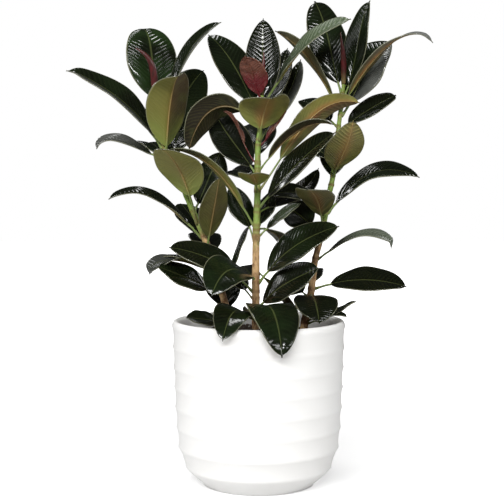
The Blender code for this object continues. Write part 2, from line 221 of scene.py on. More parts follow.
stemLook = {
    "ringStep": 0.0026,          # metres between the rings of the swept bark
    "sides": 20,
    "nodeSwell": 0.0007,         # how far a leaf node stands proud
    "nodeLength": 0.0022,
    "knobbly": 0.00035,          # unevenness of the bark
    "tan": (0.56, 0.36, 0.17),
    "brown": (0.16, 0.070, 0.024),
    "lenticel": (0.62, 0.47, 0.28),
    "green": (0.215, 0.330, 0.060),
    "olive": (0.23, 0.19, 0.060),
    "turnsGreen": (0.36, 0.42),  # heights between which tan bark gives way to green
}
stems = {
    "left": {"route": [
        (-0.030, 0.028, 0.150), (-0.043, 0.026, 0.240), (-0.059, 0.024, 0.300), (-0.082, 0.022, 0.374),
        (-0.107, 0.020, 0.434), (-0.132, 0.018, 0.492), (-0.147, 0.016, 0.522), (-0.161, 0.014, 0.600),
    ], "thick": 0.0065, "thin": 0.0032},
    "middle": {"route": [
        (-0.002, -0.012, 0.150), (-0.004, -0.014, 0.240), (-0.004, -0.015, 0.365),
        (-0.002, -0.015, 0.442), (-0.001, -0.015, 0.520), (0.002, -0.015, 0.550), (0.005, -0.015, 0.602),
    ], "thick": 0.0070, "thin": 0.0034},
    "right": {"route": [
        (0.062, 0.010, 0.150), (0.071, 0.013, 0.240), (0.082, 0.015, 0.296), (0.088, 0.016, 0.345),
        (0.097, 0.017, 0.382), (0.110, 0.017, 0.450), (0.116, 0.017, 0.481), (0.124, 0.016, 0.551),
        (0.132, 0.015, 0.621),
    ], "thick": 0.0068, "thin": 0.0032},
}


def routePoint(points, share):
    spans = len(points) - 1
    at = min(share * spans, spans - 1e-9)
    i = int(at)
    start, end = points[i], points[i + 1]
    pullIn = (end - points[max(i - 1, 0)]) / 2
    pullOut = (points[min(i + 2, spans)] - start) / 2
    curve = geometry.interpolate_bezier(start, start + pullIn / 3, end - pullOut / 3, end, 65)
    place = (at - i) * 64
    k = min(int(place), 63)
    return curve[k].lerp(curve[k + 1], place - k)


# The stem's middle, its direction and its radius at a height.
def stemAt(stem, height):
    points = [Vector(p) for p in stem["route"]]
    low, high = 0.0, 1.0
    for _ in range(16):
        middle = (low + high) / 2
        if routePoint(points, middle).z < height:
            low = middle
        else:
            high = middle
    axis = routePoint(points, min(low + 0.02, 1.0)) - routePoint(points, max(low - 0.02, 0.0))
    return routePoint(points, low), axis.normalized(), stem["thick"] + (stem["thin"] - stem["thick"]) * low


# Leaves: their midribs and widths are the solids' own, with the blade's fine form laid over them.

leafLook = {
    "rows": 132, "columns": 12,              # faces along and across a blade
    "smallRows": 76, "smallColumns": 10,
    "thickness": 0.0009,
    "petiole": 0.0018,                       # radius of the leaf's stalk
    "rootSwell": 1.35,                       # how much thicker it is where it joins the stem
    "midrib": 0.0004,                        # radius of the midrib near the tip
    "crease": 0.00045,                       # how far the blade sinks along its midrib
    "ribs": 17,                              # side veins to a blade
    "ribLean": 0.34,                         # how far they lean towards the tip
    "ribDrift": 0.30,                        # how unevenly they are spaced
    "ribDepth": 0.00045,                     # how far the blade puffs up between them
    "curl": 0.10,                            # how far the edges turn down
    "wave": 0.0011,                          # how far the edges wander
    "crumple": 0.0, "blunt": 0.0,
    "dripTip": 0.055,                        # share of the blade that is its narrow point
    "hook": 0.0016,                          # how far that point bends down
    "glossDark": (0.0030, 0.0036, 0.0018),
    "glossGreen": (0.014, 0.030, 0.008),
    "glossVein": (0.012, 0.018, 0.007),
    "glossPale": (0.085, 0.120, 0.060),
    "paleVein": (0.30, 0.34, 0.24),
    # painted reflection of a bright sky on the gloss
    "paintedReflection": (0.27, 0.275, 0.26),
    # painted sheen on one half of the gloss
    "paintedSheenHalf": (0.125, 0.13, 0.12),
    "glossMidrib": (0.11, 0.13, 0.045),
    # the leaf's pale edge, which also carries a painted rim light
    "paleMarginRimLight": (0.22, 0.22, 0.14),
    "underOlive": (0.185, 0.175, 0.038),
    "underGreen": (0.175, 0.220, 0.045),
    "underBrown": (0.075, 0.050, 0.020),
    "underVein": (0.34, 0.29, 0.095),
    "underRust": (0.34, 0.140, 0.045),
    "underDark": (0.012, 0.011, 0.006),
    "underMidrib": (0.36, 0.22, 0.075),
    "stalkGreen": (0.16, 0.22, 0.055),
    "stalkRed": (0.20, 0.085, 0.045),
    "young": (0.120, 0.010, 0.013),
    "youngBrown": (0.140, 0.048, 0.028),
    "youngDark": (0.050, 0.014, 0.010),
    "youngPale": (0.55, 0.22, 0.17),
}

# A row: its stem, the height of its node, its tip, its blade's width and its stalk's length. Then,
# in degrees, the stalk's rise, the tip's dip, the roll about the midrib and the fold of each half,
# and how strongly the midrib bends.
leafRows = {
    "leaf_left_01": ("left", 0.586, (-0.186, 0.080, 0.716), 0.084, 0.016, 72, -12, 0),
    "leaf_left_02": ("left", 0.570, (-0.058, 0.000, 0.716), 0.038, 0.025, 62, -25, 34, 22),
    "leaf_left_03": ("left", 0.528, (-0.088, 0.085, 0.650), 0.072, 0.018, 60, -35, 42),
    "leaf_left_04": ("left", 0.523, (-0.294, -0.005, 0.645), 0.062, 0.025, 60, -25, -32, 24),
    "leaf_left_05": ("left", 0.516, (-0.119, -0.075, 0.628), 0.078, 0.010, 74, -12, 10, 26),
    "leaf_left_06": ("left", 0.508, (-0.250, -0.012, 0.521), 0.046, 0.025, 14, 65, -24, 16),
    "leaf_left_07": ("left", 0.498, (-0.125, 0.150, 0.566), 0.060, 0.018, 55, -15, 0),
    "leaf_left_08": ("left", 0.425, (-0.060, 0.050, 0.519), 0.056, 0.012, 60, -60, 36),
    "leaf_left_09": ("left", 0.407, (-0.142, -0.100, 0.520), 0.078, 0.050, 62, -15, 0),
    "leaf_left_10": ("left", 0.385, (-0.234, 0.005, 0.444), 0.050, 0.030, 50, 32, -12, 18),
    "leaf_left_11": ("left", 0.374, (-0.127, 0.092, 0.436), 0.060, 0.012, 58, -30, 0),
    "leaf_left_12": ("left", 0.372, (-0.060, -0.040, 0.478), 0.048, 0.014, 64, -66, 8),
    "leaf_left_13": ("left", 0.330, (-0.177, 0.020, 0.327), 0.050, 0.020, 30, 60, 18),
    "leaf_left_14": ("left", 0.296, (-0.156, -0.010, 0.340), 0.060, 0.018, 30, -22, -34),
    "leaf_left_15": ("left", 0.260, (-0.068, 0.078, 0.335), 0.060, 0.012, 62, -45, 0),
    "leaf_left_16": ("left", 0.250, (-0.113, 0.000, 0.260), 0.046, 0.014, 15, -12, -26),
    "leaf_middle_01": ("middle", 0.597, (-0.020, -0.044, 0.660), 0.052, 0.008, 64, -50, 0),
    "leaf_middle_02": ("middle", 0.588, (0.007, 0.012, 0.723), 0.056, 0.012, 70, -75, 0),
    "leaf_middle_03": ("middle", 0.588, (0.138, -0.044, 0.715), 0.050, 0.040, 58, -15, 22, 20),
    "leaf_middle_04": ("middle", 0.574, (-0.080, 0.058, 0.704), 0.058, 0.020, 56, -35, -34),
    "leaf_middle_05": ("middle", 0.562, (-0.108, -0.006, 0.520), 0.058, 0.030, 42, 75, 42, 12, 0.6),
    "leaf_middle_06": ("middle", 0.535, (0.020, -0.088, 0.594), 0.082, 0.018, 66, 5, 0, 16),
    "leaf_middle_07": ("middle", 0.535, (0.066, 0.060, 0.665), 0.048, 0.020, 50, -72, -6),
    "leaf_middle_08": ("middle", 0.498, (0.000, 0.136, 0.570), 0.060, 0.018, 55, -15, 0),
    "leaf_middle_09": ("middle", 0.490, (0.112, -0.062, 0.557), 0.034, 0.022, 52, 12, -8, 24),
    "leaf_middle_10": ("middle", 0.484, (-0.072, 0.040, 0.586), 0.058, 0.014, 52, -60, -46),
    "leaf_middle_11": ("middle", 0.460, (0.157, 0.000, 0.592), 0.041, 0.056, 54, 14, -62, 16),
    "leaf_middle_12": ("middle", 0.456, (-0.012, -0.108, 0.483), 0.048, 0.016, 40, -2, 0),
    "leaf_middle_13": ("middle", 0.433, (0.114, -0.058, 0.545), 0.064, 0.020, 50, -35, 44, 16),
    "leaf_middle_14": ("middle", 0.404, (-0.133, -0.030, 0.522), 0.044, 0.030, 62, -8, 14),
    "leaf_middle_15": ("middle", 0.383, (-0.042, 0.018, 0.466), 0.044, 0.020, 70, -72, -20),
    "leaf_middle_16": ("middle", 0.322, (-0.069, -0.112, 0.304), 0.070, 0.012, 28, 58, -30, 12, 0.48),
    "leaf_middle_17": ("middle", 0.316, (0.122, -0.040, 0.404), 0.066, 0.022, 55, -18, 46),
    "leaf_middle_18": ("middle", 0.302, (-0.136, -0.046, 0.372), 0.060, 0.030, 48, -10, -42),
    "leaf_middle_19": ("middle", 0.278, (0.091, -0.058, 0.342), 0.064, 0.010, 50, -25, 50),
    "leaf_middle_20": ("middle", 0.268, (0.034, -0.152, 0.219), 0.076, 0.012, 30, 72, 0, 12, 0.5),
    "leaf_middle_21": ("middle", 0.258, (-0.052, -0.144, 0.242), 0.060, 0.016, 22, 58, -16, 12, 0.5),
    "leaf_right_01": ("right", 0.608, (0.089, 0.064, 0.757), 0.064, 0.018, 66, -55, -30, 14),
    "leaf_right_02": ("right", 0.602, (0.171, 0.010, 0.750), 0.050, 0.018, 68, -68, 50, 18),
    "leaf_right_03": ("right", 0.590, (0.261, -0.060, 0.681), 0.036, 0.018, 60, 36, -4),
    "leaf_right_04": ("right", 0.585, (0.026, 0.026, 0.706), 0.052, 0.020, 60, -28, 14),
    "leaf_right_05": ("right", 0.574, (0.210, 0.042, 0.690), 0.078, 0.026, 52, -22, 36),
    "leaf_right_06": ("right", 0.548, (0.214, 0.024, 0.606), 0.044, 0.018, 45, -28, 38, 16),
    "leaf_right_07": ("right", 0.500, (0.072, 0.082, 0.528), 0.060, 0.012, 38, -5, -10),
    "leaf_right_08": ("right", 0.480, (0.138, -0.100, 0.561), 0.060, 0.014, 40, -60, 0, 16),
    "leaf_right_09": ("right", 0.440, (0.020, 0.000, 0.450), 0.052, 0.016, 22, 16, -26),
    "leaf_right_10": ("right", 0.423, (0.248, -0.010, 0.478), 0.060, 0.020, 55, 24, 24, 12, 0.45),
    "leaf_right_11": ("right", 0.403, (0.070, -0.098, 0.460), 0.060, 0.018, 62, -2, 0),
    "leaf_right_12": ("right", 0.396, (0.040, 0.050, 0.430), 0.058, 0.016, 20, -10, -44),
    "leaf_right_13": ("right", 0.351, (0.213, -0.006, 0.372), 0.044, 0.020, 40, 48, 8, 12, 0.42),
    "leaf_right_14": ("right", 0.304, (0.228, -0.022, 0.310), 0.060, 0.026, 20, 14, 34),
    "leaf_right_15": ("right", 0.292, (0.091, -0.076, 0.260), 0.070, 0.010, 10, 42, 0),
    "small_left_1": ("left", 0.505, (-0.190, 0.105, 0.528), 0.052, 0.016, 25, 25, 0),
    "small_left_2": ("left", 0.345, (-0.100, 0.132, 0.386), 0.054, 0.018, 45, 0, 0),
    "small_left_3": ("left", 0.334, (-0.176, 0.066, 0.344), 0.050, 0.018, 30, 15, 0),
    "small_left_4": ("left", 0.306, (-0.014, 0.035, 0.402), 0.036, 0.020, 55, -60, 0),
    "small_middle_1": ("middle", 0.570, (0.046, 0.078, 0.685), 0.044, 0.014, 50, -62, 0),
    "small_middle_2": ("middle", 0.470, (-0.046, 0.085, 0.488), 0.044, 0.014, 25, 5, -20),
    "small_middle_3": ("middle", 0.424, (0.096, 0.070, 0.493), 0.038, 0.020, 25, -62, 20),
    "small_middle_4": ("middle", 0.398, (0.054, 0.050, 0.350), 0.040, 0.014, 5, 50, 6),
    "small_middle_5": ("middle", 0.396, (0.021, 0.024, 0.456), 0.036, 0.012, 60, -60, 0),
    "small_middle_6": ("middle", 0.388, (0.064, -0.018, 0.438), 0.034, 0.016, 46, -30, 22),
    "small_middle_7": ("middle", 0.330, (0.062, 0.034, 0.252), 0.034, 0.014, -35, 56, 6),
    "small_middle_8": ("middle", 0.316, (-0.046, 0.126, 0.318), 0.052, 0.018, 25, 25, 0),
    "small_middle_9": ("middle", 0.290, (-0.050, 0.012, 0.326), 0.040, 0.018, 45, -10, -10),
    "small_middle_10": ("middle", 0.254, (-0.022, 0.080, 0.254), 0.030, 0.014, 20, 10, 50),
    "small_middle_11": ("middle", 0.501, (-0.053, -0.010, 0.580), 0.017, 0.034, 50, -35, -24, 30),
    "small_middle_12": ("middle", 0.527, (0.043, -0.026, 0.582), 0.022, 0.010, 45, -50, 30, 24),
    "small_right_1": ("right", 0.556, (0.064, 0.062, 0.600), 0.050, 0.016, 40, -10, -20),
    "small_right_2": ("right", 0.466, (0.136, 0.140, 0.546), 0.054, 0.018, 55, -15, 0),
    "small_right_3": ("right", 0.302, (0.078, 0.138, 0.320), 0.052, 0.018, 25, 20, 0),
    "small_right_4": ("right", 0.290, (0.048, 0.034, 0.300), 0.040, 0.010, 45, 30, -30),
    "small_right_5": ("right", 0.254, (0.134, -0.046, 0.267), 0.028, 0.016, 25, 5, 8),
    "small_right_6": ("right", 0.250, (0.149, -0.030, 0.289), 0.034, 0.018, 18, -34, 20),
}

# Where a leaf differs from the rest. Below, under goes from 0, olive, to 1, brown, dark and rust
# say how dark it is and how rusty along its midrib, paintedShadeHalf how much painted shade browns one
# half and veined how clear its side veins are. Above, green and pale say how light it is,
# paintedReflection how much a painted reflection lightens it towards its tip, and paintedSheenHalf how
# much painted sheen lies on one half, the sign giving which. A twist turns its tip by some degrees, a
# hook bends its point, a blunt leaf is broader there, a curled one turns its edges down, and a young one is red.
leafTraits = {
    "leaf_left_01": {"green": 1.0, "ribDepth": 0.0007, "curl": 0.22},
    "leaf_left_02": {"twist": 10, "paintedSheenHalf": 0.5},
    "leaf_left_03": {"relief": 0.2},
    "leaf_left_04": {"hook": 0.006, "paintedSheenHalf": -0.5},
    "leaf_left_05": {"under": 0.0, "dark": 0.0, "paintedShadeHalf": 0.9, "rust": 0.1, "relief": 0.4},
    "leaf_left_06": {"twist": 8, "paintedReflection": 0.4},
    "leaf_left_08": {"relief": 0.0, "curl": 0.45},
    "leaf_left_09": {"under": 0.0, "dark": 0.0, "rust": 0.1, "relief": 0.4},
    "leaf_left_12": {"under": 0.4, "dark": 0.55, "rust": 0.1, "relief": 0.4},
    "leaf_left_13": {"hook": 0.010, "paintedReflection": 0.2, "under": 0.0, "twist": -60},
    "leaf_left_15": {"under": 0.6, "dark": 0.6},
    "leaf_middle_01": {"young": 1.0, "crumple": 0.0016, "dark": 1.0},
    "leaf_middle_02": {"ribDepth": 0.0004, "curl": 0.40, "relief": 0.8},
    "leaf_middle_03": {"under": 0.1, "pale": 0.6, "twist": 16, "dark": 0.0},
    "leaf_middle_04": {"relief": 0.4},
    "leaf_middle_05": {"under": 0.5, "dark": 0.88, "rust": 0.0, "paintedShadeHalf": 0.5, "relief": 0.3},
    "leaf_middle_06": {"under": 0.25, "rust": 0.7, "dark": 0.0, "relief": 0.4},
    "leaf_middle_07": {"paintedSheenHalf": 0.4},
    "leaf_middle_09": {"under": 0.9, "dark": 0.8, "rust": 0.3, "relief": 0.4},
    "leaf_middle_10": {"relief": 0.15},
    "leaf_middle_11": {"under": 0.35, "rust": 0.7, "dark": 0.0, "paintedShadeHalf": 0.6, "relief": 0.4},
    "leaf_middle_12": {"under": 0.1, "dark": 0.0, "rust": 0.5, "relief": 0.4},
    "leaf_middle_14": {"under": 0.0, "dark": 0.0, "pale": 0.6},
    "leaf_middle_16": {"green": 0.5, "relief": 0.15},
    "leaf_middle_20": {"green": 0.5, "relief": 0.2},
    "leaf_middle_21": {"green": 0.3, "relief": 0.1},
    "leaf_right_01": {"ribDepth": 0.0005, "relief": 0.6, "blunt": 0.8, "curl": 0.40},
    "leaf_right_02": {"ribDepth": 0.0006},
    "leaf_right_03": {"under": 0.8, "rust": 0.8, "dark": 0.0, "paintedReflection": 0.7, "twist": 22, "hook": 0.006, "relief": 0.4},
    "leaf_right_04": {"under": 0.5, "dark": 0.12, "relief": 0.4},
    "leaf_right_05": {"paintedSheenHalf": 0.9},
    "leaf_right_06": {"blunt": 1.0},
    "leaf_right_08": {"under": 0.35, "dark": 0.0, "rust": 0.6, "ribDepth": 0.0006, "veined": 0.5},
    "leaf_right_11": {"under": 0.45, "dark": 0.5, "rust": 0.7, "veined": 0.3, "relief": 0.4},
    "leaf_right_13": {"under": 0.0, "dark": 0.0, "pale": 0.5, "paintedReflection": 0.3, "hook": 0.014, "twist": 12},
    "small_middle_6": {"pale": 0.3},
    "small_middle_11": {"young": 1.0, "crumple": 0.0012, "twist": 60, "brown": 0.6},
    "small_middle_12": {"young": 1.0, "crumple": 0.0010, "twist": 30, "brown": 0.25},
}


# The midrib of a leaf as (point, direction) pairs at even steps, and its whole length.
def midribOf(row):
    stem, node, tip, _, _, rise, dip = row[:7]
    centre, axis, radius = stemAt(stems[stem], node)
    heading = Vector((tip[0] - centre.x, tip[1] - centre.y, 0.0)).normalized()
    outward = (heading - axis * heading.dot(axis)).normalized()
    start = centre + outward * radius
    rise, dip = math.radians(rise), math.radians(dip)
    leave = heading * math.cos(rise) + Vector((0, 0, math.sin(rise)))
    arrive = heading * math.cos(dip) - Vector((0, 0, math.sin(dip)))
    end = Vector(tip)
    pull = (end - start).length * (row[9] if len(row) > 9 else 0.38)
    run = geometry.interpolate_bezier(start, start + leave * pull, end - arrive * pull, end, 201)
    reach = [0.0]
    for a, b in zip(run, run[1:]):
        reach.append(reach[-1] + (b - a).length)
    return run, reach, heading


def along(run, reach, distance):
    if distance <= 0:
        return run[0] + (run[1] - run[0]).normalized() * distance, (run[1] - run[0]).normalized()
    low, high = 0, len(reach) - 1
    while high - low > 1:
        middle = (low + high) // 2
        if reach[middle] <= distance:
            low = middle
        else:
            high = middle
    share = min(1.0, (distance - reach[low]) / max(reach[high] - reach[low], 1e-9))
    before = run[high] - run[max(low - 1, 0)]
    after = run[min(high + 1, len(run) - 1)] - run[low]
    return run[low].lerp(run[high], share), before.lerp(after, share).normalized()


# Half the blade's width at a share of its length: a long oval that ends in a narrow drip tip.
def halfWidth(width, t, blunt=0.0):
    u = min(t / (1 - leafLook["dripTip"] * 0.45), 0.9999)
    power = 0.66 if t < 0.5 else 0.58 - 0.25 * blunt
    oval = math.sin(math.pi * u ** 0.95) ** power
    point = 0.085 * min(1.0, (1 - t) / leafLook["dripTip"])
    return width / 2 * max(oval, point, 0.018)


# The leaf's own axes at a distance from its root: point, direction, side and face.
def leafAxes(shape, distance):
    point, forward = along(shape["run"], shape["reach"], distance)
    left = shape["left"]
    up = forward.cross(left)
    t = (distance - shape["stalk"]) / shape["blade"]
    turn = shape["roll"] * min(1.0, max(0.0, distance / shape["stalk"])) + shape["twist"] * softStep(0.1, 1.0, t)
    side = left * math.cos(turn) + up * math.sin(turn)
    face = up * math.cos(turn) - left * math.sin(turn)
    return point - face * (shape["hook"] * softStep(0.88, 1.04, t)), forward, side, face


# The stalk, which runs on under the blade as its midrib.
def addStalk(bm, shape):
    lengthwise = bm.verts.layers.float["lengthwise"]
    stalk, blade = shape["stalk"], shape["blade"]
    stations = [-0.0022, 0.0, 0.002] + [stalk * share for share in (0.35, 0.7, 1.0)]
    stations += [stalk + blade * (0.02 + 0.95 * i / 26) for i in range(27)]
    frames = []
    for distance in stations:
        point, _, side, face = leafAxes(shape, distance)
        t = (distance - stalk) / blade
        radius = leafLook["petiole"] * shape["scale"] ** 0.5
        if distance < 0.004:
            radius *= leafLook["rootSwell"]
        if t > 0:
            radius += (leafLook["midrib"] - radius) * min(1.0, t * 1.1) ** 0.6
        sink = radius * 0.75 * softStep(-0.05, 0.04, t) + leafLook["crease"] * softStep(0.0, 0.05, t)
        frames.append(ringFrame(point - face * sink, side, face, radius, radius * 1.1))
    for ring, distance in zip(sweepTube(bm, frames, 8), stations):
        for vert in ring:
            vert[lengthwise] = (distance - stalk) / blade
    for face in bm.faces:
        face.material_index = 2


# How far a blade's surface lifts off its midrib's plane, at a spot on the half on one side.
def bladeLift(shape, half, s, t, rib, spot):
    edge = abs(s)
    body = softStep(0.0, 0.1, t) * (1 - softStep(0.92, 1.0, t))
    lift = half * (math.sqrt(edge * edge + 0.006) - 0.077) * math.sin(shape["fold"])
    lift -= half * shape["curl"] * s * s
    puff = 4 * (rib % 1.0) * (1 - rib % 1.0)
    lift += shape["ribDepth"] * puff * body * softStep(0.02, 0.2, edge) * (1 - softStep(0.85, 0.98, edge))
    lift -= leafLook["crease"] * (1 - softStep(0.0, 0.16, edge)) * body
    rate, phase = shape["waves"][0 if s > 0 else 1]
    lift += leafLook["wave"] * shape["scale"] * edge * edge * math.sin(rate * 2 * math.pi * t + phase) * body
    lift += 0.0010 * shape["scale"] * noise.noise(spot * 28.0 + shape["offset"]) * edge * body
    if shape["crumple"]:
        lift += shape["crumple"] * (noise.noise(spot * 110.0) + 0.5 * noise.noise(spot * 260.0))
    return lift


# The blade: a flat sheet with two sides, which is then laid along the midrib.
def addBlade(bm, shape, rows, columns):
    across, lengthwise = bm.verts.layers.float["across"], bm.verts.layers.float["lengthwise"]
    ribLayer = bm.verts.layers.float["rib"]
    known = set(bm.verts)
    sheet = bmesh.ops.create_grid(bm, x_segments=columns, y_segments=rows, size=0.5)["verts"]
    lower = list({face for vert in sheet for face in vert.link_faces})
    for face in lower:
        face.material_index = 1
    grown = bmesh.ops.extrude_face_region(bm, geom=lower, use_keep_orig=True)["geom"]
    upper = [part for part in grown if isinstance(part, bmesh.types.BMVert)]
    bmesh.ops.translate(bm, vec=(0, 0, 1), verts=upper)
    for face in {face for vert in upper for face in vert.link_faces}:
        face.material_index = 0
    blade = [vert for vert in bm.verts if vert not in known]
    bmesh.ops.recalc_face_normals(bm, faces=list({face for vert in blade for face in vert.link_faces}))
    for vert in blade:
        flat, above = vert.co.x * 2, vert.co.z > 0.5
        edge = 1 - (1 - abs(flat)) ** 1.35
        s = math.copysign(edge, flat)
        # The sheet's rows lean towards the tip, as the side veins do.
        row = vert.co.y + 0.5
        t = row + leafLook["ribLean"] * edge * softStep(0.0, 0.12, row) * (1 - row)
        point, _, side, face = leafAxes(shape, shape["stalk"] + shape["blade"] * t)
        half = halfWidth(shape["width"], t, shape["blunt"])
        spot = point - side * (s * half * math.cos(shape["fold"]))
        rib = leafLook["ribs"] * row
        rib += leafLook["ribDrift"] * noise.noise(Vector((s * 1.5, t * 7.0, 0.0)) + shape["offset"])
        thick = leafLook["thickness"] * (1 + 0.5 * softStep(0.9, 1.0, edge)) / 2
        vert[across], vert[lengthwise], vert[ribLayer] = s, t, rib
        vert.co = spot + face * (bladeLift(shape, half, s, t, rib, spot) + (thick if above else -thick))


def buildLeaf(name, row):
    traits = leafTraits.get(name, {})
    small = name.startswith("small")
    chance = random.Random(name)
    run, reach, heading = midribOf(row)
    shape = {
        "run": run, "reach": reach, "left": Vector((0, 0, 1)).cross(heading),
        "width": row[3], "stalk": row[4], "blade": reach[-1] - row[4], "scale": row[3] / 0.07,
        "roll": math.radians(row[7]), "fold": math.radians(row[8] if len(row) > 8 else 12),
        "twist": math.radians(traits.get("twist", chance.uniform(-6, 6))),
        "waves": [(chance.uniform(1.2, 2.6), chance.uniform(0, 6.28)) for _ in range(2)],
        "offset": Vector((chance.uniform(0, 50), chance.uniform(0, 50), chance.uniform(0, 50))),
    }
    for key in ("hook", "ribDepth", "crumple", "blunt", "curl"):
        shape[key] = traits.get(key, leafLook[key])
    shape["ribDepth"] *= traits.get("relief", 1.0)
    bm = bmesh.new()
    for layer in ("across", "lengthwise", "rib"):
        bm.verts.layers.float.new(layer)
    addStalk(bm, shape)
    addBlade(bm, shape, leafLook["smallRows" if small else "rows"],
             leafLook["smallColumns" if small else "columns"])
    finishes = [glossFinish, underFinish, stalkFinish]
    if traits.get("young"):
        finishes = [youngFinish] * 3
    piece = addPiece(name if small else name + "_fine", bm, finishes, () if small else (name,))
    for key, value in (
        ("under", chance.uniform(0.2, 0.7)), ("dark", 0.5 if small else chance.uniform(0.1, 0.5)),
        ("pale", 0.0), ("rust", 0.25), ("paintedShadeHalf", 0.0), ("paintedReflection", 0.0), ("paintedSheenHalf", 0.0),
        ("veined", 0.08), ("relief", 1.0), ("brown", 0.0), ("green", chance.uniform(0.0, 0.35)),
    ):
        layer = piece.data.attributes.new(key, "FLOAT", "POINT")
        layer.data.foreach_set("value", [traits.get(key, value)] * len(piece.data.vertices))


# Side veins: 1 on a vein, 0 half-way between two. The blade's own ribs are the slowest set.
def veins(finish, times, sharpness):
    turn = finish.attribute("rib") * (2 * math.pi * times)
    return (turn.cosine() * 0.5 + 0.5) ** sharpness


def makeGloss():
    finish = Finish("glossy dark leaf")
    edge, t = finish.attribute("across").size(), finish.attribute("lengthwise")
    ribs, fine = veins(finish, 1, 2.0), veins(finish, 3, 1.0)
    place = finish.place()
    mottle = finish.noise(place, 60.0, 4.0)
    patches = finish.noise(place, 26.0, 3.0)
    inBlade = edge.step(0.03, 0.16) * (1 - edge.step(0.86, 0.97))
    base = (finish.attribute("green") * patches.step(0.3, 0.7)).blend(
        leafLook["glossDark"], leafLook["glossGreen"])
    base = (ribs * inBlade * 0.35 + mottle * 0.15).blend(base, leafLook["glossVein"])
    pale = finish.attribute("pale") * t.step(0.05, 0.6)
    base = pale.blend(base, leafLook["glossPale"])
    base = (pale * ribs * inBlade * 0.5).blend(base, leafLook["paleVein"])
    # Painted reflection: a light grey laid over the top towards the tip, standing in for the bright sky mirrored in the
    # gloss.
    paintedReflection = finish.attribute("paintedReflection") * t.step(0.0, 0.7)
    base = (paintedReflection * (mottle * 0.5 + 0.5)).blend(base, leafLook["paintedReflection"])
    # Painted sheen: a light grey laid over one half of the top, the sign choosing which, standing in for a broad
    # reflection on the gloss.
    paintedSheenHalf = (finish.attribute("across") * finish.attribute("paintedSheenHalf")).step(0.0, 0.5)
    base = (paintedSheenHalf * (mottle * 0.8 + 0.2)).blend(base, leafLook["paintedSheenHalf"])
    base = ((1 - edge.step(0.015, 0.055)) * 0.4).blend(base, leafLook["glossMidrib"])
    # The edge: partly the leaf's own pale margin and partly a painted rim light.
    base = (edge.step(0.945, 0.985) * 0.65).blend(base, leafLook["paleMarginRimLight"])
    relief = finish.attribute("relief")
    height = ((1 - ribs) * 0.6 + (1 - fine) * 0.06) * inBlade * relief + mottle * 0.3 + patches * 1.2
    return finish.set(base=base, rough=0.08 + mottle * 0.12 + pale * 0.25, ior=1.42,
                      normal=finish.bump(height, 0.0006, 0.9))


def makeUnder():
    finish = Finish("satin leaf underside")
    edge, t = finish.attribute("across").size(), finish.attribute("lengthwise")
    ribs, fine = veins(finish, 1, 4.0), veins(finish, 3, 1.0)
    place = finish.place()
    mottle = finish.noise(place, 45.0, 5.0, 0.6)
    patches = finish.noise(place, 22.0, 3.0)
    net = finish.cells(place, 900.0)
    inBlade = edge.step(0.03, 0.16) * (1 - edge.step(0.88, 0.98))
    # Painted shade: one half of the underside is browned, standing in for the shade on the half of a folded leaf that
    # turns away from the light.
    paintedShadeHalf = (1 - finish.attribute("across").step(-0.06, 0.06)) * finish.attribute("paintedShadeHalf")
    warm = (finish.attribute("under") + paintedShadeHalf + (mottle - 0.5) * 1.1 + (patches - 0.5) * 1.3).step(0.0, 1.0)
    base = warm.blend(leafLook["underOlive"], leafLook["underBrown"])
    base = ((1 - t.step(0.0, 0.5)) * (1 - finish.attribute("under")) * 0.8).blend(base, leafLook["underGreen"])
    rust = finish.attribute("rust") * (1 - edge.step(0.0, 0.55)) * (1 - t.step(0.35, 1.0) * 0.6)
    base = rust.blend(base, leafLook["underRust"])
    base = finish.attribute("dark").blend(base, leafLook["underDark"])
    base = (patches.step(0.5, 0.75) * 0.35).blend(base, leafLook["underGreen"])
    base = (ribs * inBlade * finish.attribute("veined")).blend(base, leafLook["underVein"])
    base = ((1 - edge.step(0.02, 0.10)) * 0.30).blend(base, leafLook["underMidrib"])
    # The edge: partly the leaf's own pale margin and partly a painted rim light.
    base = (edge.step(0.950, 0.990) * 0.6).blend(base, leafLook["paleMarginRimLight"])
    height = ribs * inBlade + fine * inBlade * 0.15 + net * 0.12 + patches
    return finish.set(base=base, rough=0.42 + mottle * 0.14, ior=1.42,
                      normal=finish.bump(height, 0.00018, 0.7))


def makeStalk():
    finish = Finish("leaf stalk and midrib")
    t = finish.attribute("lengthwise")
    mottle = finish.noise(finish.place(), 120.0, 3.0)
    base = (t.step(-0.05, 0.25) * 0.8).blend(leafLook["stalkGreen"], leafLook["underMidrib"])
    base = (finish.attribute("dark") * t.step(-0.05, 0.15) * 0.8).blend(base, leafLook["underBrown"])
    base = ((1 - t.step(-0.30, -0.10)) * mottle * 0.7).blend(base, leafLook["stalkRed"])
    return finish.set(base=base, rough=0.40 + mottle * 0.1,
                      normal=finish.bump(mottle, 0.0002, 0.5))


def makeYoung():
    finish = Finish("new red leaf")
    place = finish.place()
    mottle = finish.noise(place, 130.0, 5.0, 0.65)
    specks = 1 - finish.cells(place, 420.0).step(0.05, 0.30)
    t = finish.attribute("lengthwise")
    base = (t + (mottle - 0.5) * 0.5 + finish.attribute("brown")).step(0.30, 0.62).blend(leafLook["young"], leafLook["youngBrown"])
    base = (mottle.step(0.5, 0.75) * 0.6).blend(base, leafLook["youngDark"])
    low = 1 - t.step(0.10, 0.60)
    base = (specks * low * mottle.step(0.40, 0.6) * 0.8).blend(base, leafLook["youngPale"])
    return finish.set(base=base, rough=0.30 + mottle * 0.2,
                      normal=finish.bump(mottle + specks * 0.4, 0.0016, 0.9))


glossFinish, underFinish, stalkFinish, youngFinish = makeGloss(), makeUnder(), makeStalk(), makeYoung()
for leafName, leafRow in leafRows.items():
    buildLeaf(leafName, leafRow)
print("leaves,", len(leafRows), "made")


# The stems' bark, and their leaf nodes

